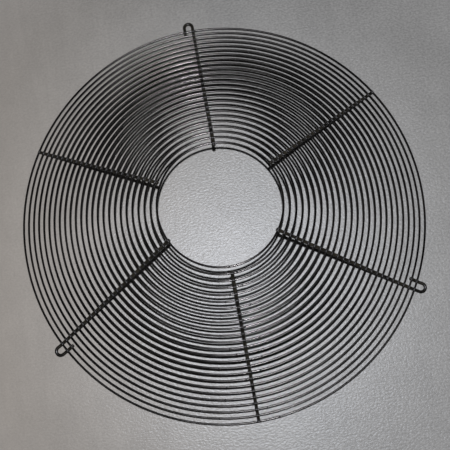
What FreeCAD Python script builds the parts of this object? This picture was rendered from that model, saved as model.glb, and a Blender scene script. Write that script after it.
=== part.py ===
import FreeCAD, Part
import math
import os
import Sketcher

# Wire fan guard: concentric wire rings welded on six spoke wires that rise as a cone
# from the mounting plane. Every second spoke turns back on itself outside the rim as a
# flat hairpin eyelet for a fixing screw.
# Frame: origin on the fan axis in the mounting plane, +Z from the fan to the open centre.

doc = FreeCAD.newDocument("WireFanGuard")

# Driving dimensions: millimetres, and degrees for angles
drivingSizes = [
    ("rimRadius", 250.0, "fan axis to the centreline of the rim ring"),
    ("openingRadius", 70.96, "fan axis to the centreline of the innermost ring"),
    ("ringCount", 25, "rings, from the centre opening to the rim"),
    ("coneAngle", 25.7, "angle of the spokes above the mounting plane"),
    ("ringWire", 2.5, "diameter of the ring wire"),
    ("spokeWire", 4.0, "diameter of the spoke wire"),
    ("weldSetDown", 0.3, "depth that welding presses a ring into a spoke"),
    ("eyeletDirectionA", 90.2, "direction of the first eyelet spoke round the fan axis"),
    ("eyeletDirectionB", 209.7, "the same for the second eyelet spoke"),
    ("eyeletDirectionC", 330.1, "the same for the third eyelet spoke"),
    ("plainDirectionA", 30.2, "direction of the first plain spoke round the fan axis"),
    ("plainDirectionB", 149.9, "the same for the second plain spoke"),
    ("plainDirectionC", 270.0, "the same for the third plain spoke"),
    ("bendStart", 0.9, "rim centreline to the start of the bend into an eyelet"),
    ("bendRadius", 8.0, "centreline radius of the bend into an eyelet"),
    ("eyeletStraight", 3.3, "straight flat wire between the bend and the round end"),
    ("eyeletWidth", 6.6, "clear width between the two legs of an eyelet"),
    ("returnTailShort", 2.0, "first return leg, cut short, past its weld on the rim"),
    ("returnTail", 0.6, "second return leg past its weld on the ring before the rim"),
    ("returnTailFlush", 0.1, "third return leg past the same weld"),
    ("eyeletTail", 0.6, "eyelet spokes past their weld on the innermost ring"),
    ("eyeletTailLong", 1.0, "the same for the spoke with the short return leg"),
    ("plainOverhang", 0.8, "plain spokes past the rim centreline"),
    ("plainTailLong", 3.4, "first plain spoke past its weld on the second ring"),
    ("plainTailMiddle", 1.8, "second plain spoke past the same ring"),
    ("plainTailShort", 0.6, "third plain spoke past the same ring"),
]
sizes = doc.addObject("Spreadsheet::Sheet", "Sizes")
for row, (alias, value, note) in enumerate(drivingSizes, start=1):
    sizes.set(f"A{row}", note)
    sizes.set(f"B{row}", str(value))
    sizes.setAlias(f"B{row}", alias)
doc.recompute()

# Lengths that follow from the driving dimensions
slope = "(Sizes.coneAngle * 1 deg)"
spokeRadius = "(Sizes.spokeWire / 2)"
ringRadius = "(Sizes.ringWire / 2)"
ringPitch = "((Sizes.rimRadius - Sizes.openingRadius) / (Sizes.ringCount - 1))"
legOffset = "((Sizes.eyeletWidth + Sizes.spokeWire) / 2)"
bendStart = "(Sizes.rimRadius + Sizes.bendStart)"
bendEnd = f"({bendStart} + Sizes.bendRadius * sin({slope}))"
bendCorner = f"({bendEnd} - Sizes.bendRadius * tan({slope} / 2))"
loopCentre = f"({bendEnd} + Sizes.eyeletStraight)"
wireSpacing = f"({spokeRadius} + {ringRadius} - Sizes.weldSetDown)"
ringSeat = f"({wireSpacing} / cos({slope}))"
weldShift = f"({wireSpacing} * sin({slope}))"
innerRing = "1"
secondRing = "2"
nextToRim = "(Sizes.ringCount - 1)"
rimRing = "Sizes.ringCount"


def ringCentreline(number):
    """Radius of a ring's centreline, with ring 1 round the centre opening."""
    return f"(Sizes.rimRadius - (Sizes.ringCount - {number}) * {ringPitch})"


def pastWeld(number, tail):
    """Radius where a spoke ends, a short way past its weld on a ring."""
    return f"({ringCentreline(number)} - {weldShift} - {tail})"


def spokeHeight(radius):
    """Height of a sloping spoke's centreline above the mounting plane."""
    return f"({spokeRadius} + ({bendCorner} - {radius}) * tan({slope}))"


def valueOf(expression):
    """Present value of an expression, to start a sketch point in its place."""
    return float(sizes.evalExpression(expression))


def sketchPoint(x, y):
    return FreeCAD.Vector(valueOf(x), valueOf(y), 0)


def newSketch(body, name, role):
    """Empty sketch on one of the body's own origin planes."""
    sketch = body.newObject("Sketcher::SketchObject", name)
    plane = next(f for f in body.Origin.OriginFeatures if f.Role == role)
    sketch.AttachmentSupport = [(plane, "")]
    sketch.MapMode = "FlatFace"
    return sketch


def bindDatum(sketch, kind, size, *ends):
    """Dimension in a sketch that takes its value from an expression."""
    number = sketch.addConstraint(Sketcher.Constraint(kind, *ends, valueOf(size)))
    sketch.setExpression(f"Constraints[{number}]", size)


def bindPoint(sketch, edge, end, x=None, y=None):
    """Place one end of a sketch edge by its distances from the sketch's origin."""
    if x:
        bindDatum(sketch, "DistanceX", x, -1, 1, edge, end)
    if y:
        bindDatum(sketch, "DistanceY", y, -1, 1, edge, end)


def addWire(body, name, path):
    """Round spoke wire swept along a path sketch."""
    section = body.newObject("Sketcher::SketchObject", name + "Section")
    section.AttachmentSupport = [(path, "Edge1")]
    section.MapMode = "NormalToEdge"
    # the round surface starts and ends along the top of the wire, under the ring welds
    section.AttachmentOffset = FreeCAD.Placement(FreeCAD.Vector(), FreeCAD.Rotation(90, 0, 0))
    centre = FreeCAD.Vector(0, 0, 0)
    circle = section.addGeometry(Part.Circle(centre, FreeCAD.Vector(0, 0, 1), valueOf(spokeRadius)))
    section.addConstraint(Sketcher.Constraint("Coincident", circle, 3, -1, 1))
    bindDatum(section, "Radius", spokeRadius, circle)
    doc.recompute()
    wire = body.newObject("PartDesign::AdditivePipe", name)
    wire.Profile = section
    wire.Spine = (path, [f"Edge{n + 1}" for n in range(path.GeometryCount)])
    doc.recompute()
    return wire


# Rings

def makeRingWire(name, number):
    """Wire of one ring, at the height where it lies in its welds on the spokes."""
    centreline = ringCentreline(number)
    wire = doc.addObject("Part::Torus", name)
    wire.setExpression("Radius1", centreline)
    wire.setExpression("Radius2", ringRadius)
    wire.setExpression("Placement.Base.z", f"{spokeHeight(centreline)} + {ringSeat}")
    return wire


def makeRing(number):
    ring = makeRingWire(f"Ring{number}", number)
    ring.Label = f"ring_{number:02d}"
    return ring


def makeSeatTool(number):
    """Short length of the same ring across a spoke on +X, both its legs included."""
    tool = makeRingWire(f"Seat{number}", number)
    reach = f"asin(({legOffset} + Sizes.spokeWire) / {ringCentreline(number)})"
    tool.setExpression("Angle3", f"2 * {reach}")
    tool.setExpression("Placement.Rotation.Angle", f"-{reach}")
    return tool


# Eyelet spokes

def addLeg(body, name, offset, innerEnd):
    """Leg of a hairpin: down the cone, round the bend, and flat to the round end."""
    path = newSketch(body, name + "Path", "XZ_Plane")
    path.setExpression("AttachmentOffset.Base.z", offset)
    bendCentreHeight = f"({spokeRadius} + Sizes.bendRadius)"
    bendStartHeight = f"({bendCentreHeight} - Sizes.bendRadius * cos({slope}))"
    inner = sketchPoint(innerEnd, spokeHeight(innerEnd))
    bendTop = sketchPoint(bendStart, bendStartHeight)
    bendFoot = sketchPoint(bendEnd, spokeRadius)
    bendCentre = sketchPoint(bendEnd, bendCentreHeight)
    outer = sketchPoint(loopCentre, spokeRadius)
    circle = Part.Circle(bendCentre, FreeCAD.Vector(0, 0, 1), valueOf("Sizes.bendRadius"))
    footAngle = -math.pi / 2
    topAngle = footAngle - math.radians(valueOf("Sizes.coneAngle"))
    sloping = path.addGeometry(Part.LineSegment(inner, bendTop))
    bend = path.addGeometry(Part.ArcOfCircle(circle, topAngle, footAngle))
    flat = path.addGeometry(Part.LineSegment(bendFoot, outer))
    path.addConstraint(Sketcher.Constraint("Tangent", sloping, 2, bend, 1))
    path.addConstraint(Sketcher.Constraint("Tangent", bend, 2, flat, 1))
    path.addConstraint(Sketcher.Constraint("Horizontal", flat))
    bindDatum(path, "Radius", "Sizes.bendRadius", bend)
    bindPoint(path, sloping, 1, x=innerEnd)
    bindPoint(path, sloping, 2, x=bendStart)
    bindPoint(path, flat, 1, x=bendEnd, y=spokeRadius)
    bindPoint(path, flat, 2, x=loopCentre)
    doc.recompute()
    return addWire(body, name, path)


def addRoundEnd(body, name):
    """Half turn of wire that joins the two legs and forms the eyelet."""
    section = newSketch(body, name + "Section", "YZ_Plane")
    section.setExpression("AttachmentOffset.Base.z", loopCentre)
    centre = FreeCAD.Vector(-valueOf(legOffset), valueOf(spokeRadius), 0)
    circle = section.addGeometry(Part.Circle(centre, FreeCAD.Vector(0, 0, 1), valueOf(spokeRadius)))
    bindDatum(section, "Radius", spokeRadius, circle)
    bindDatum(section, "DistanceX", legOffset, circle, 3, -1, 1)
    bindDatum(section, "DistanceY", spokeRadius, -1, 1, circle, 3)
    doc.recompute()
    turn = body.newObject("PartDesign::Revolution", name)
    turn.Profile = section
    turn.ReferenceAxis = (section, ["V_Axis"])
    turn.Angle = 180
    doc.recompute()
    return turn


def makeEyeletWire(name, tail, returnEnd):
    """One wire along +X that is both a spoke and its fixing eyelet."""
    body = doc.addObject("PartDesign::Body", name + "Wire")
    addLeg(body, name + "Leg", legOffset, pastWeld(innerRing, tail))
    addRoundEnd(body, name + "RoundEnd")
    addLeg(body, name + "Return", f"-{legOffset}", returnEnd)
    return body


# Plain spokes

def makePlainWire(name, tail):
    """Straight wire along +X, cut square at both ends."""
    body = doc.addObject("PartDesign::Body", name + "Wire")
    innerEnd = pastWeld(secondRing, tail)
    outerEnd = "(Sizes.rimRadius + Sizes.plainOverhang)"
    path = newSketch(body, name + "Path", "XZ_Plane")
    inner = sketchPoint(innerEnd, spokeHeight(innerEnd))
    outer = sketchPoint(outerEnd, spokeHeight(outerEnd))
    line = path.addGeometry(Part.LineSegment(inner, outer))
    bindPoint(path, line, 1, x=innerEnd, y=spokeHeight(innerEnd))
    bindPoint(path, line, 2, x=outerEnd, y=spokeHeight(outerEnd))
    doc.recompute()
    addWire(body, name + "Run", path)
    return body


# Spokes with the rings pressed in

def seatRings(wire, label, seatTools, direction):
    """Spoke with the shallow seats of its welds, turned to its place round the fan axis."""
    spoke = doc.addObject("Part::Cut", wire.Name + "Seated")
    spoke.Base = wire
    spoke.Tool = seatTools
    spoke.Label = label
    spoke.setExpression("Placement.Rotation.Angle", f"{direction} * 1 deg")
    return spoke


ringNumbers = range(1, int(valueOf("Sizes.ringCount")) + 1)
rings = [makeRing(number) for number in ringNumbers]
seatTools = doc.addObject("Part::Compound", "SeatTools")
seatTools.Links = [makeSeatTool(number) for number in ringNumbers]

eyeletTails = ["Sizes.eyeletTailLong", "Sizes.eyeletTail", "Sizes.eyeletTail"]
returnEnds = [
    pastWeld(rimRing, "Sizes.returnTailShort"),
    pastWeld(nextToRim, "Sizes.returnTail"),
    pastWeld(nextToRim, "Sizes.returnTailFlush"),
]
plainTails = ["Sizes.plainTailLong", "Sizes.plainTailMiddle", "Sizes.plainTailShort"]
spokes = []
for letter, eyeletTail, returnEnd, plainTail in zip("ABC", eyeletTails, returnEnds, plainTails):
    eyelet = makeEyeletWire("Eyelet" + letter, eyeletTail, returnEnd)
    plain = makePlainWire("Plain" + letter, plainTail)
    eyeletLabel = "eyelet_spoke_" + letter.lower()
    plainLabel = "plain_spoke_" + letter.lower()
    spokes.append(seatRings(eyelet, eyeletLabel, seatTools, "Sizes.eyeletDirection" + letter))
    spokes.append(seatRings(plain, plainLabel, seatTools, "Sizes.plainDirection" + letter))
doc.recompute()

# Every feature is sound and every piece is one solid before anything is written
subParts = rings + spokes
for feature in doc.Objects:
    if "Invalid" in feature.State or "Error" in feature.State:
        raise RuntimeError(f"{feature.Label} did not compute")
for piece in subParts:
    shape = piece.Shape
    if shape.isNull() or not shape.isValid() or len(shape.Solids) != 1:
        raise RuntimeError(f"{piece.Label} is not one valid solid")

os.makedirs("parts", exist_ok=True)
for piece in subParts:
    piece.Shape.exportStep(f"parts/{piece.Label}.step")
    print(piece.Label, round(piece.Shape.Volume, 1))
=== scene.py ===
import math

import bpy
from mathutils import Matrix, Vector


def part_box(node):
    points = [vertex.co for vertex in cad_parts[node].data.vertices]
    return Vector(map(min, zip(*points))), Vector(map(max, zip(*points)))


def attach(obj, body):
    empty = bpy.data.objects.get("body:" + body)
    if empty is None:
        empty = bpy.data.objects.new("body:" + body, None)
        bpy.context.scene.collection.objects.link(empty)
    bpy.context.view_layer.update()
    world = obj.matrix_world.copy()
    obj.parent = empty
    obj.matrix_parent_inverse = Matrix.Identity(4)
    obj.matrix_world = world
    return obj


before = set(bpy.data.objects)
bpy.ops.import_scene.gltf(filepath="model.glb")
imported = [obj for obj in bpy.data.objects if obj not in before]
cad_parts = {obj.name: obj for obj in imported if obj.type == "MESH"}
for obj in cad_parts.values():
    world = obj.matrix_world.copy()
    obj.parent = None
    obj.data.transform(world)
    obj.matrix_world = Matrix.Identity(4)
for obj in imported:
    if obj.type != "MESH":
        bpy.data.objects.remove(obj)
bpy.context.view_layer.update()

mm = 0.001
print("frame loaded,", len(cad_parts), "wires")


# Sizes that the welds and cut ends need, read from the frame

def ringSize(name):
    low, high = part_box(name)
    wire = (high.z - low.z) / 2
    return {"radius": (high.x - low.x) / 2 - wire, "height": (high.z + low.z) / 2, "wire": wire}


rings = {name: ringSize(name) for name in sorted(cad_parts) if name.startswith("ring_")}
ringNames = list(rings)
opening, rim = rings[ringNames[0]], rings[ringNames[-1]]
slope = math.atan2(opening["height"] - rim["height"], rim["radius"] - opening["radius"])
# directions of the spokes, in degrees
eyeletAngles = {"a": 90.2, "b": 209.7, "c": 330.1}
plainAngles = {"a": 30.2, "b": 149.9, "c": 270.0}
# how deep each ring is pressed into the spokes
seatDepth = 0.3 * mm


def spokeWidth(name, degrees):
    turn = math.radians(degrees)
    side = Vector((-math.sin(turn), math.cos(turn), 0))
    reach = [vertex.co.dot(side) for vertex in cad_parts[name].data.vertices]
    return max(reach) - min(reach)


spokeWire = spokeWidth("plain_spoke_a", plainAngles["a"]) / 2
legOffset = spokeWidth("eyelet_spoke_a", eyeletAngles["a"]) / 2 - spokeWire


# Small helpers for modelling

smoothAngle = math.radians(50)


def clearSelection():
    if bpy.context.object and bpy.context.object.mode != "OBJECT":
        bpy.ops.object.mode_set(mode="OBJECT")
    bpy.ops.object.select_all(action="DESELECT")


def extrudeRows(rows):
    # each row goes up by its first number and is scaled by its second
    for up, scale in rows:
        bpy.ops.mesh.extrude_region_move(TRANSFORM_OT_translate={"value": (0, 0, up)})
        bpy.ops.transform.resize(value=(scale, scale, 1))


def turnedForm(name, sides, radius, start, rows):
    # a filled circle at height start, drawn up row by row, closed at both ends
    clearSelection()
    bpy.ops.mesh.primitive_circle_add(vertices=sides, radius=radius, fill_type="NGON", location=(0, 0, start))
    form = bpy.context.object
    form.name = name
    bpy.ops.object.transform_apply(location=True, rotation=True, scale=True)
    bpy.ops.object.mode_set(mode="EDIT")
    bpy.ops.mesh.select_all(action="SELECT")
    extrudeRows(rows)
    bpy.ops.mesh.select_all(action="SELECT")
    bpy.ops.mesh.normals_make_consistent(inside=False)
    bpy.ops.object.mode_set(mode="OBJECT")
    bpy.ops.object.shade_smooth_by_angle(angle=smoothAngle)
    return form


def copyTo(form, places, name):
    # one copy for each place, each with its own mesh, joined as one piece
    copies = []
    for place in places:
        copy = form.copy()
        copy.data = form.data.copy()
        copy.data.transform(place)
        bpy.context.scene.collection.objects.link(copy)
        copies.append(copy)
    clearSelection()
    for copy in copies:
        copy.select_set(True)
    bpy.context.view_layer.objects.active = copies[0]
    bpy.ops.object.join()
    piece = bpy.context.object
    piece.name = name
    piece.data.name = name
    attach(piece, "root")
    return piece


def placeAt(origin, along, across, up):
    # matrix that puts a form's own x, y and z along three directions
    return Matrix.Translation(origin) @ Matrix((along, across, up)).transposed().to_4x4()


# Coating materials

# values between which each mask of the coating goes from nothing to full
levels = {"patches": (0.38, 0.66), "specks": (0.45, 0.8), "facingUp": (0.3, 1.0)}
dustRoughness = 0.8


def addNode(tree, kind, place, **values):
    node = tree.nodes.new(kind)
    node.location = place
    for key, value in values.items():
        if hasattr(node, key):
            setattr(node, key, value)
        else:
            node.inputs[key].default_value = value
    return node


def addRange(tree, place, low, high, bottom=0.0, top=1.0):
    # spreads what lies between low and high over bottom to top
    node = addNode(tree, "ShaderNodeMapRange", place)
    node.inputs["From Min"].default_value = low
    node.inputs["From Max"].default_value = high
    node.inputs["To Min"].default_value = bottom
    node.inputs["To Max"].default_value = top
    return node


def newGroup(name, inputs, outputs):
    group = bpy.data.node_groups.new(name, "ShaderNodeTree")
    for label, kind, value in inputs:
        socket = group.interface.new_socket(name=label, in_out="INPUT", socket_type=kind)
        if value is not None:
            socket.default_value = value
    for label, kind in outputs:
        group.interface.new_socket(name=label, in_out="OUTPUT", socket_type=kind)
    start = addNode(group, "NodeGroupInput", (-900, 0))
    end = addNode(group, "NodeGroupOutput", (700, 0))
    return group, start, end


def buildPeelGroup():
    # the fine ripple of a stoved coating, with a slower sag below it
    group, start, end = newGroup(
        "coatingPeel",
        [("Place", "NodeSocketVector", None), ("Peel Scale", "NodeSocketFloat", 900.0),
         ("Sag Scale", "NodeSocketFloat", 120.0), ("Sag Share", "NodeSocketFloat", 0.5)],
        [("Height", "NodeSocketFloat")])
    peel = addNode(group, "ShaderNodeTexNoise", (-600, 150), Detail=2.0, Roughness=0.45)
    sag = addNode(group, "ShaderNodeTexNoise", (-600, -150), Detail=1.0, Roughness=0.5)
    weight = addNode(group, "ShaderNodeMath", (-300, -150), operation="MULTIPLY")
    total = addNode(group, "ShaderNodeMath", (0, 0), operation="ADD")
    link = group.links.new
    link(start.outputs["Place"], peel.inputs["Vector"])
    link(start.outputs["Place"], sag.inputs["Vector"])
    link(start.outputs["Peel Scale"], peel.inputs["Scale"])
    link(start.outputs["Sag Scale"], sag.inputs["Scale"])
    link(sag.outputs["Fac"], weight.inputs[0])
    link(start.outputs["Sag Share"], weight.inputs[1])
    link(peel.outputs["Fac"], total.inputs[0])
    link(weight.outputs[0], total.inputs[1])
    link(total.outputs[0], end.inputs["Height"])
    return group


def buildToneGroup():
    # patches where the black thins to a warmer brown, and the gloss that goes with them
    group, start, end = newGroup(
        "coatingTone",
        [("Place", "NodeSocketVector", None), ("Black", "NodeSocketColor", (0.01, 0.01, 0.01, 1)),
         ("Thin", "NodeSocketColor", (0.05, 0.04, 0.03, 1)), ("Patch Scale", "NodeSocketFloat", 45.0),
         ("Thin Share", "NodeSocketFloat", 0.5), ("Gloss", "NodeSocketFloat", 0.2),
         ("Gloss Spread", "NodeSocketFloat", 0.1)],
        [("Color", "NodeSocketColor"), ("Roughness", "NodeSocketFloat")])
    patches = addNode(group, "ShaderNodeTexNoise", (-650, 100), Detail=4.0, Roughness=0.6)
    share = addRange(group, (-400, 100), *levels["patches"])
    weight = addNode(group, "ShaderNodeMath", (-150, 100), operation="MULTIPLY")
    colour = addNode(group, "ShaderNodeMix", (150, 150), data_type="RGBA")
    spread = addNode(group, "ShaderNodeMath", (-150, -150), operation="MULTIPLY")
    gloss = addNode(group, "ShaderNodeMath", (150, -150), operation="ADD")
    link = group.links.new
    link(start.outputs["Place"], patches.inputs["Vector"])
    link(start.outputs["Patch Scale"], patches.inputs["Scale"])
    link(patches.outputs["Fac"], share.inputs["Value"])
    link(share.outputs["Result"], weight.inputs[0])
    link(start.outputs["Thin Share"], weight.inputs[1])
    link(weight.outputs[0], colour.inputs["Factor"])
    link(start.outputs["Black"], colour.inputs["A"])
    link(start.outputs["Thin"], colour.inputs["B"])
    link(share.outputs["Result"], spread.inputs[0])
    link(start.outputs["Gloss Spread"], spread.inputs[1])
    link(start.outputs["Gloss"], gloss.inputs[0])
    link(spread.outputs[0], gloss.inputs[1])
    link(colour.outputs["Result"], end.inputs["Color"])
    link(gloss.outputs[0], end.inputs["Roughness"])
    return group


def buildDustGroup():
    # fine pale dust on what faces up, in specks and thin drifts
    group, start, end = newGroup(
        "settledDust",
        [("Place", "NodeSocketVector", None), ("Color", "NodeSocketColor", (0.01, 0.01, 0.01, 1)),
         ("Roughness", "NodeSocketFloat", 0.2), ("Dust", "NodeSocketColor", (0.35, 0.33, 0.3, 1)),
         ("Speck Scale", "NodeSocketFloat", 700.0), ("Amount", "NodeSocketFloat", 0.1)],
        [("Color", "NodeSocketColor"), ("Roughness", "NodeSocketFloat")])
    geometry = addNode(group, "ShaderNodeNewGeometry", (-900, -350))
    split = addNode(group, "ShaderNodeSeparateXYZ", (-700, -350))
    facing = addRange(group, (-500, -350), *levels["facingUp"])
    specks = addNode(group, "ShaderNodeTexNoise", (-650, 0), Detail=3.0, Roughness=0.7)
    cut = addRange(group, (-400, 0), *levels["specks"])
    both = addNode(group, "ShaderNodeMath", (-200, -150), operation="MULTIPLY")
    weight = addNode(group, "ShaderNodeMath", (0, -150), operation="MULTIPLY")
    colour = addNode(group, "ShaderNodeMix", (250, 150), data_type="RGBA")
    rough = addNode(group, "ShaderNodeMix", (250, -150), data_type="FLOAT")
    rough.inputs["B"].default_value = dustRoughness
    link = group.links.new
    link(geometry.outputs["Normal"], split.inputs[0])
    link(split.outputs["Z"], facing.inputs["Value"])
    link(start.outputs["Place"], specks.inputs["Vector"])
    link(start.outputs["Speck Scale"], specks.inputs["Scale"])
    link(specks.outputs["Fac"], cut.inputs["Value"])
    link(facing.outputs["Result"], both.inputs[0])
    link(cut.outputs["Result"], both.inputs[1])
    link(both.outputs[0], weight.inputs[0])
    link(start.outputs["Amount"], weight.inputs[1])
    link(weight.outputs[0], colour.inputs["Factor"])
    link(start.outputs["Color"], colour.inputs["A"])
    link(start.outputs["Dust"], colour.inputs["B"])
    link(weight.outputs[0], rough.inputs["Factor"])
    link(start.outputs["Roughness"], rough.inputs["A"])
    link(colour.outputs["Result"], end.inputs["Color"])
    link(rough.outputs["Result"], end.inputs["Roughness"])
    return group


peelGroup = buildPeelGroup()
toneGroup = buildToneGroup()
dustGroup = buildDustGroup()


def addGroup(tree, group, place, values):
    node = addNode(tree, "ShaderNodeGroup", place)
    node.node_tree = group
    for key, value in values.items():
        node.inputs[key].default_value = value
    return node


def coatingMaterial(name, look):
    material = bpy.data.materials.new(name)
    material.use_nodes = True
    tree = material.node_tree
    link = tree.links.new
    shader = tree.nodes["Principled BSDF"]
    place = addNode(tree, "ShaderNodeTexCoord", (-1100, 0))
    tone = addGroup(tree, toneGroup, (-800, 200), look["tone"])
    dust = addGroup(tree, dustGroup, (-500, 200), look["dust"])
    peel = addGroup(tree, peelGroup, (-800, -200), look["peel"])
    bump = addNode(tree, "ShaderNodeBump", (-400, -200), Strength=look["bump"], Distance=look["bumpDepth"])
    for group in (tone, dust, peel):
        link(place.outputs["Object"], group.inputs["Place"])
    link(tone.outputs["Color"], dust.inputs["Color"])
    link(tone.outputs["Roughness"], dust.inputs["Roughness"])
    link(peel.outputs["Height"], bump.inputs["Height"])
    link(dust.outputs["Color"], shader.inputs["Base Color"])
    link(dust.outputs["Roughness"], shader.inputs["Roughness"])
    link(bump.outputs["Normal"], shader.inputs["Normal"])
    shader.inputs["IOR"].default_value = look["ior"]
    shader.inputs["Specular Tint"].default_value = look["sheenTint"]
    return material


ringLook = {
    "tone": {"Black": (0.0022, 0.0022, 0.0024, 1), "Thin": (0.008, 0.0074, 0.006, 1), "Patch Scale": 14.0,
             "Thin Share": 0.5, "Gloss": 0.13, "Gloss Spread": 0.09},
    "dust": {"Speck Scale": 900.0, "Amount": 0.012},
    "peel": {"Peel Scale": 900.0, "Sag Scale": 160.0, "Sag Share": 0.6},
    "bump": 0.06, "bumpDepth": 0.00006, "ior": 1.37, "sheenTint": (1.0, 0.95, 0.97, 1),
}
spokeLook = {
    "tone": {"Black": (0.005, 0.0047, 0.0042, 1), "Thin": (0.03, 0.026, 0.018, 1), "Patch Scale": 40.0,
             "Thin Share": 0.7, "Gloss": 0.26, "Gloss Spread": 0.16},
    "dust": {"Speck Scale": 800.0, "Amount": 0.015},
    "peel": {"Peel Scale": 800.0, "Sag Scale": 120.0, "Sag Share": 0.8},
    "bump": 0.12, "bumpDepth": 0.00008, "ior": 1.38, "sheenTint": (0.95, 0.94, 1.0, 1),
}
weldLook = {
    "tone": {"Black": (0.003, 0.003, 0.003, 1), "Thin": (0.014, 0.012, 0.009, 1), "Patch Scale": 300.0,
             "Thin Share": 0.6, "Gloss": 0.36, "Gloss Spread": 0.2},
    "dust": {"Speck Scale": 1000.0, "Amount": 0.03},
    "peel": {"Peel Scale": 1800.0, "Sag Scale": 500.0, "Sag Share": 1.0},
    "bump": 0.3, "bumpDepth": 0.0001, "ior": 1.42, "sheenTint": (0.95, 0.94, 1.0, 1),
}
ringCoat = coatingMaterial("ringCoat", ringLook)
spokeCoat = coatingMaterial("spokeCoat", spokeLook)
weldCoat = coatingMaterial("weldCoat", weldLook)
for name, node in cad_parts.items():
    for slot in node.material_slots:
        slot.material = ringCoat if name in rings else spokeCoat
print("coating on the wires")


# Spot welds: a ring is pressed into a spoke, and the coating gathers round the joint

def sleeveForm(name, sleeve, wire):
    # a short swollen tube round a wire, along its own Z, with both ends drawn in under the wire's skin
    length, edge, swell = sleeve["length"], sleeve["edge"], sleeve["swell"]
    lip, flat = length * sleeve["lip"], length * sleeve["flat"]
    rise = (length - flat) / 2 - lip
    shoulder = 1 + (swell - 1) * sleeve["firstRise"]
    crown = swell / shoulder
    return turnedForm(name, sleeve["sides"], wire * edge, -length / 2,
                      [(lip, shoulder / edge), (rise, crown), (flat, 1.0),
                       (rise, 1 / crown), (lip, edge / shoulder)])


def roundRing(ring, turn):
    outward = Vector((math.cos(turn), math.sin(turn), 0))
    along = Vector((-math.sin(turn), math.cos(turn), 0))
    return outward, along, outward * ring["radius"] + Vector((0, 0, ring["height"]))


def sleevePlace(ring, turn):
    outward, along, centre = roundRing(ring, turn)
    return placeAt(centre, outward, Vector((0, 0, -1)), along)


# each row of the flank is a share of the rise and how much it narrows
fillet = {"sides": 16, "foot": 1.8 * mm, "rise": 0.8 * mm, "sink": 0.45 * mm,
          "flank": ((0.45, 0.8), (0.3, 0.86), (0.25, 0.62))}
# lip and flat are shares of the length, firstRise is the lip's share of the swell, and edge is where the ends
# go in, in wire radii
weldSleeve = {"sides": 16, "length": 4.8 * mm, "swell": 1.09, "firstRise": 0.75,
              "lip": 0.07, "flat": 0.3, "edge": 0.92}


def filletPlace(ring, turn):
    # the weld lies between the ring's centre and the spoke's, square to the spoke
    outward, along, centre = roundRing(ring, turn)
    up = outward * math.sin(slope) + Vector((0, 0, math.cos(slope)))
    return placeAt(centre - up * (ring["wire"] + fillet["sink"] - seatDepth), along, up.cross(along), up)


# each run of wire: kind, direction, offset to its side, and the radius of the innermost ring that it meets
runs = [("eyelet", degrees, -legOffset, opening["radius"]) for degrees in eyeletAngles.values()]
runs += [("plain", degrees, 0, rings[ringNames[1]]["radius"]) for degrees in plainAngles.values()]
# the innermost ring that each eyelet's return leg meets
returnEnds = {"a": ringNames[-1], "b": ringNames[-2], "c": ringNames[-2]}
runs += [("eyelet", eyeletAngles[letter], legOffset, rings[ring]["radius"])
         for letter, ring in returnEnds.items()]
# a ring this close inside the innermost one would count as met
ringSlack = 1 * mm

filletForm = turnedForm("filletForm", fillet["sides"], fillet["foot"], 0,
                        [(fillet["rise"] * share, narrowing) for share, narrowing in fillet["flank"]])
coatedRing = sleeveForm("coatedRing", weldSleeve, rim["wire"])
weldForms = ((filletForm, filletPlace, "weld_fillets"), (coatedRing, sleevePlace, "weld_sleeves"))
for kind in ("eyelet", "plain"):
    welds = [(ring, math.radians(degrees) + math.asin(offset / ring["radius"]))
             for runKind, degrees, offset, inner in runs if runKind == kind
             for ring in rings.values() if ring["radius"] > inner - ringSlack]
    for form, place, name in weldForms:
        piece = copyTo(form, [place(ring, turn) for ring, turn in welds], f"{kind}_spoke_{name}")
        piece.data.materials.append(weldCoat)
bpy.data.objects.remove(filletForm)
bpy.data.objects.remove(coatedRing)
print("spot welds on the spokes")


# Butt welds: each ring is closed by a short swollen collar

collar = {"sides": 20, "length": 2.2 * mm, "swell": 1.16, "firstRise": 0.5,
          "lip": 0.2, "flat": 0.3, "edge": 0.97}
# the collars lie scattered to both sides of one direction
scatter = {"direction": 268.0, "spread": 9.0, "step": 2.4}


def collarPlace(index, ring):
    degrees = scatter["direction"] + scatter["spread"] * math.sin(scatter["step"] * index)
    return sleevePlace(ring, math.radians(degrees))


closedRing = sleeveForm("closedRing", collar, rim["wire"])
collarPlaces = [collarPlace(index, ring) for index, ring in enumerate(rings.values())]
collars = copyTo(closedRing, collarPlaces, "ring_butt_welds")
collars.data.materials.append(weldCoat)
bpy.data.objects.remove(closedRing)
print("butt welds on the rings")


# Cut ends: the coating draws into a low bead round each end of a spoke wire

# the bead holds the wire's last stretch, and each row of its dome is a share of the crown and a narrowing
bead = {"sides": 24, "inside": 0.985, "hold": 0.8 * mm, "holdRise": 0.6, "swell": 1.035,
        "crown": 0.22 * mm, "dome": ((0.5, 0.93), (0.35, 0.8), (0.15, 0.5))}
# how far from its middle, in spoke wires, a leg's own vertices may lie
legReach = 1.01


def cutEnds(name, degrees, offset, both):
    # the ends lie where the wire's own mesh starts and stops along its slope
    turn = math.radians(degrees)
    outward = Vector((math.cos(turn), math.sin(turn), 0))
    side = Vector((-math.sin(turn), math.cos(turn), 0))
    along = outward * math.cos(slope) - Vector((0, 0, math.sin(slope)))
    up = outward * math.sin(slope) + Vector((0, 0, math.cos(slope)))
    crossing = outward * rim["radius"] + Vector((0, 0, rim["height"]))
    axis = crossing + side * offset - up * (rim["wire"] + spokeWire - seatDepth)
    leg = [vertex.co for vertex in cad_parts[name].data.vertices
           if abs(vertex.co.dot(side) - offset) < spokeWire * legReach]
    reach = [(point - axis).dot(along) for point in leg]
    places = [placeAt(axis + along * min(reach), up, along.cross(up) * -1, along * -1)]
    if both:
        places.append(placeAt(axis + along * max(reach), up, along.cross(up), along))
    return places


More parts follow.
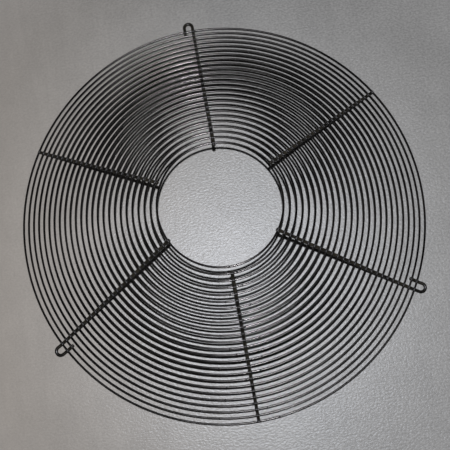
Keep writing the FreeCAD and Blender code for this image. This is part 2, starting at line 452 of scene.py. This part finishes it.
holdRows = [(bead["hold"] * bead["holdRise"], bead["swell"] / bead["inside"]),
            (bead["hold"] * (1 - bead["holdRise"]), 1 / bead["swell"])]
domeRows = [(bead["crown"] * share, narrowing) for share, narrowing in bead["dome"]]
beadForm = turnedForm("beadForm", bead["sides"], spokeWire * bead["inside"], -bead["hold"],
                      holdRows + domeRows)
beadPlaces = []
for letter, degrees in eyeletAngles.items():
    beadPlaces += cutEnds(f"eyelet_spoke_{letter}", degrees, -legOffset, False)
    beadPlaces += cutEnds(f"eyelet_spoke_{letter}", degrees, legOffset, False)
for letter, degrees in plainAngles.items():
    beadPlaces += cutEnds(f"plain_spoke_{letter}", degrees, 0, True)
beads = copyTo(beadForm, beadPlaces, "cut_end_beads")
beads.data.materials.append(spokeCoat)
bpy.data.objects.remove(beadForm)
print("beads on the cut ends")


# Floor, lamps and camera

floorLook = {
    "size": 40.0, "warm": (0.388, 0.356, 0.325, 1), "cool": (0.378, 0.374, 0.37, 1),
    "warmEdge": -0.3, "coolEdge": 0.05, "noiseLow": 0.35, "noiseHigh": 0.65,
    "mottle": 14.0, "mottleDark": 0.9,
    "rub": 30.0, "rubShape": (3.0, 0.35, 1.0), "rubTurn": 12.0, "rubDark": 0.95,
    "grain": 440.0, "grainShape": (0.72, 1.0, 1.0), "grainDark": 0.72, "warmGrainShare": 0.3,
    "grainBump": 1.0, "grainDepth": 0.00074,
    "sheen": 0.32, "sheenTint": (0.86, 0.91, 1.0, 1),
    "farFrom": 0.34, "farTo": 1.25, "far": (0.45, 0.45, 0.46, 1),
}


def darken(tree, base, noise, dark, across):
    # multiplies a colour by a noise that goes down to dark
    level = addRange(tree, (across - 200, -100), floorLook["noiseLow"], floorLook["noiseHigh"], dark)
    darker = addNode(tree, "ShaderNodeMix", (across, 150), data_type="RGBA", blend_type="MULTIPLY")
    darker.inputs["Factor"].default_value = 1.0
    tree.links.new(noise.outputs["Fac"], level.inputs["Value"])
    tree.links.new(base.outputs["Result"], darker.inputs["A"])
    tree.links.new(level.outputs["Result"], darker.inputs["B"])
    return darker


def addFarGlow(tree, place, shader):
    # away from the part the floor fades into the pale room, seen by the camera alone
    link = tree.links.new
    away = addNode(tree, "ShaderNodeVectorMath", (-700, -550), operation="LENGTH")
    far = addRange(tree, (-500, -550), floorLook["farFrom"], floorLook["farTo"])
    rays = addNode(tree, "ShaderNodeLightPath", (-500, -800))
    shown = addNode(tree, "ShaderNodeMath", (-250, -600), operation="MULTIPLY")
    link(place.outputs["Object"], away.inputs[0])
    link(away.outputs["Value"], far.inputs["Value"])
    link(far.outputs["Result"], shown.inputs[0])
    link(rays.outputs["Is Camera Ray"], shown.inputs[1])
    link(shown.outputs[0], shader.inputs["Emission Strength"])
    shader.inputs["Emission Color"].default_value = floorLook["far"]


def floorMaterial():
    # coated board: warmer to one side, a little uneven, with a pressed grain that is fainter on the warm side
    # and whose darkening is partly painted shade
    material = bpy.data.materials.new("paleFloor")
    material.use_nodes = True
    tree = material.node_tree
    link = tree.links.new
    shader = tree.nodes["Principled BSDF"]
    shader.inputs["Roughness"].default_value = floorLook["sheen"]
    shader.inputs["Specular Tint"].default_value = floorLook["sheenTint"]
    place = addNode(tree, "ShaderNodeTexCoord", (-1300, 0))
    split = addNode(tree, "ShaderNodeSeparateXYZ", (-1100, 250))
    side = addRange(tree, (-900, 250), floorLook["warmEdge"], floorLook["coolEdge"])
    grainStrength = addRange(tree, (-900, 500), floorLook["warmEdge"], floorLook["coolEdge"], floorLook["warmGrainShare"])
    colour = addNode(tree, "ShaderNodeMix", (-700, 250), data_type="RGBA")
    colour.inputs["A"].default_value = floorLook["warm"]
    colour.inputs["B"].default_value = floorLook["cool"]
    link(place.outputs["Object"], split.inputs[0])
    link(split.outputs["X"], side.inputs["Value"])
    link(split.outputs["X"], grainStrength.inputs["Value"])
    link(side.outputs["Result"], colour.inputs["Factor"])

    mottle = addNode(tree, "ShaderNodeTexNoise", (-900, 0), Scale=floorLook["mottle"],
                     Detail=8.0, Roughness=0.65)
    grain = addNode(tree, "ShaderNodeTexNoise", (-900, -250), Scale=floorLook["grain"],
                    Detail=3.0, Roughness=0.6)
    rub = addNode(tree, "ShaderNodeTexNoise", (-900, -450), Scale=floorLook["rub"],
                  Detail=6.0, Roughness=0.7)
    pressed = addNode(tree, "ShaderNodeMapping", (-1100, -250), Scale=floorLook["grainShape"])
    drawn = addNode(tree, "ShaderNodeMapping", (-1100, -450), Scale=floorLook["rubShape"],
                    Rotation=(0, 0, math.radians(floorLook["rubTurn"])))
    link(place.outputs["Object"], mottle.inputs["Vector"])
    for mapping, noise in ((pressed, grain), (drawn, rub)):
        link(place.outputs["Object"], mapping.inputs["Vector"])
        link(mapping.outputs["Vector"], noise.inputs["Vector"])

    mottled = darken(tree, colour, mottle, floorLook["mottleDark"], -500)
    rubbed = darken(tree, mottled, rub, floorLook["rubDark"], -300)
    # the grain darkens the colour in its own pattern, partly as painted shade of its pressed hollows, and
    # less towards the warm side
    grained = darken(tree, rubbed, grain, floorLook["grainDark"], -100)
    link(grainStrength.outputs["Result"], grained.inputs["Factor"])
    link(grained.outputs["Result"], shader.inputs["Base Color"])

    height = addNode(tree, "ShaderNodeMath", (-500, -350), operation="MULTIPLY")
    bump = addNode(tree, "ShaderNodeBump", (-300, -350), Strength=floorLook["grainBump"],
                   Distance=floorLook["grainDepth"])
    link(grain.outputs["Fac"], height.inputs[0])
    link(grainStrength.outputs["Result"], height.inputs[1])
    link(height.outputs[0], bump.inputs["Height"])
    link(bump.outputs["Normal"], shader.inputs["Normal"])
    addFarGlow(tree, place, shader)
    return material


clearSelection()
bpy.ops.mesh.primitive_plane_add(size=floorLook["size"], location=(0, 0, 0))
floor = bpy.context.object
floor.name = "floor"
floor.data.materials.append(floorMaterial())

# turn is in degrees
view = {"place": (0.0040, -0.1410, 0.8097), "turn": (9.06, 1.81, -9.97),
        "lens": 52.29, "sensor": 36.0, "near": 0.01}
cameraData = bpy.data.cameras.new("camera")
cameraData.lens = view["lens"]
cameraData.sensor_width = view["sensor"]
cameraData.clip_start = view["near"]
camera = bpy.data.objects.new("camera", cameraData)
camera.location = view["place"]
camera.rotation_euler = [math.radians(angle) for angle in view["turn"]]
bpy.context.scene.collection.objects.link(camera)
bpy.context.scene.camera = camera

# the key is the camera's own flash, and the fills are the warm room
lamps = {
    "key": {"place": (0.0129, -0.0956, 0.8518), "aim": (0, -0.03, 0), "size": 0.012,
            "power": 8.2, "colour": (0.98, 0.985, 1.0)},
    "fillLeft": {"place": (-1.3, 0.9, 1.6), "aim": (0, 0, 0), "size": 1.6,
                 "power": 0.3, "colour": (1.0, 0.84, 0.64)},
    "fillRight": {"place": (1.4, -1.0, 1.5), "aim": (0, 0, 0), "size": 1.6,
                  "power": 0.2, "colour": (1.0, 0.86, 0.68)},
}


def addLamp(name, lamp):
    data = bpy.data.lights.new(name, "AREA")
    data.shape = "DISK"
    data.size = lamp["size"]
    data.energy = lamp["power"]
    data.color = lamp["colour"]
    thing = bpy.data.objects.new(name, data)
    thing.location = lamp["place"]
    toward = Vector(lamp["aim"]) - Vector(lamp["place"])
    thing.rotation_euler = toward.to_track_quat("-Z", "Y").to_euler()
    bpy.context.scene.collection.objects.link(thing)


for name, lamp in lamps.items():
    addLamp(name, lamp)

room = {"colour": (0.5, 0.5, 0.51, 1), "light": 0.008, "mirrored": 0.03, "seen": 0.9}


def buildRoom():
    # pale where the camera sees it, dark where it lights or is mirrored
    world = bpy.data.worlds.new("room")
    bpy.context.scene.world = world
    world.use_nodes = True
    tree = world.node_tree
    link = tree.links.new
    shader = tree.nodes["Background"]
    shader.inputs["Color"].default_value = room["colour"]
    rays = addNode(tree, "ShaderNodeLightPath", (-700, 0))
    clear = addNode(tree, "ShaderNodeMath", (-500, 0), operation="MAXIMUM")
    lit = addRange(tree, (-500, -200), 0.0, 1.0, room["light"], room["mirrored"])
    strength = addNode(tree, "ShaderNodeMix", (-250, 0), data_type="FLOAT")
    strength.inputs["B"].default_value = room["seen"]
    link(rays.outputs["Is Camera Ray"], clear.inputs[0])
    link(rays.outputs["Is Transmission Ray"], clear.inputs[1])
    link(rays.outputs["Is Glossy Ray"], lit.inputs["Value"])
    link(clear.outputs[0], strength.inputs["Factor"])
    link(lit.outputs["Result"], strength.inputs["A"])
    link(strength.outputs["Result"], shader.inputs["Strength"])


buildRoom()
bpy.context.scene.view_settings.view_transform = "Standard"
print("floor, lamps and camera")
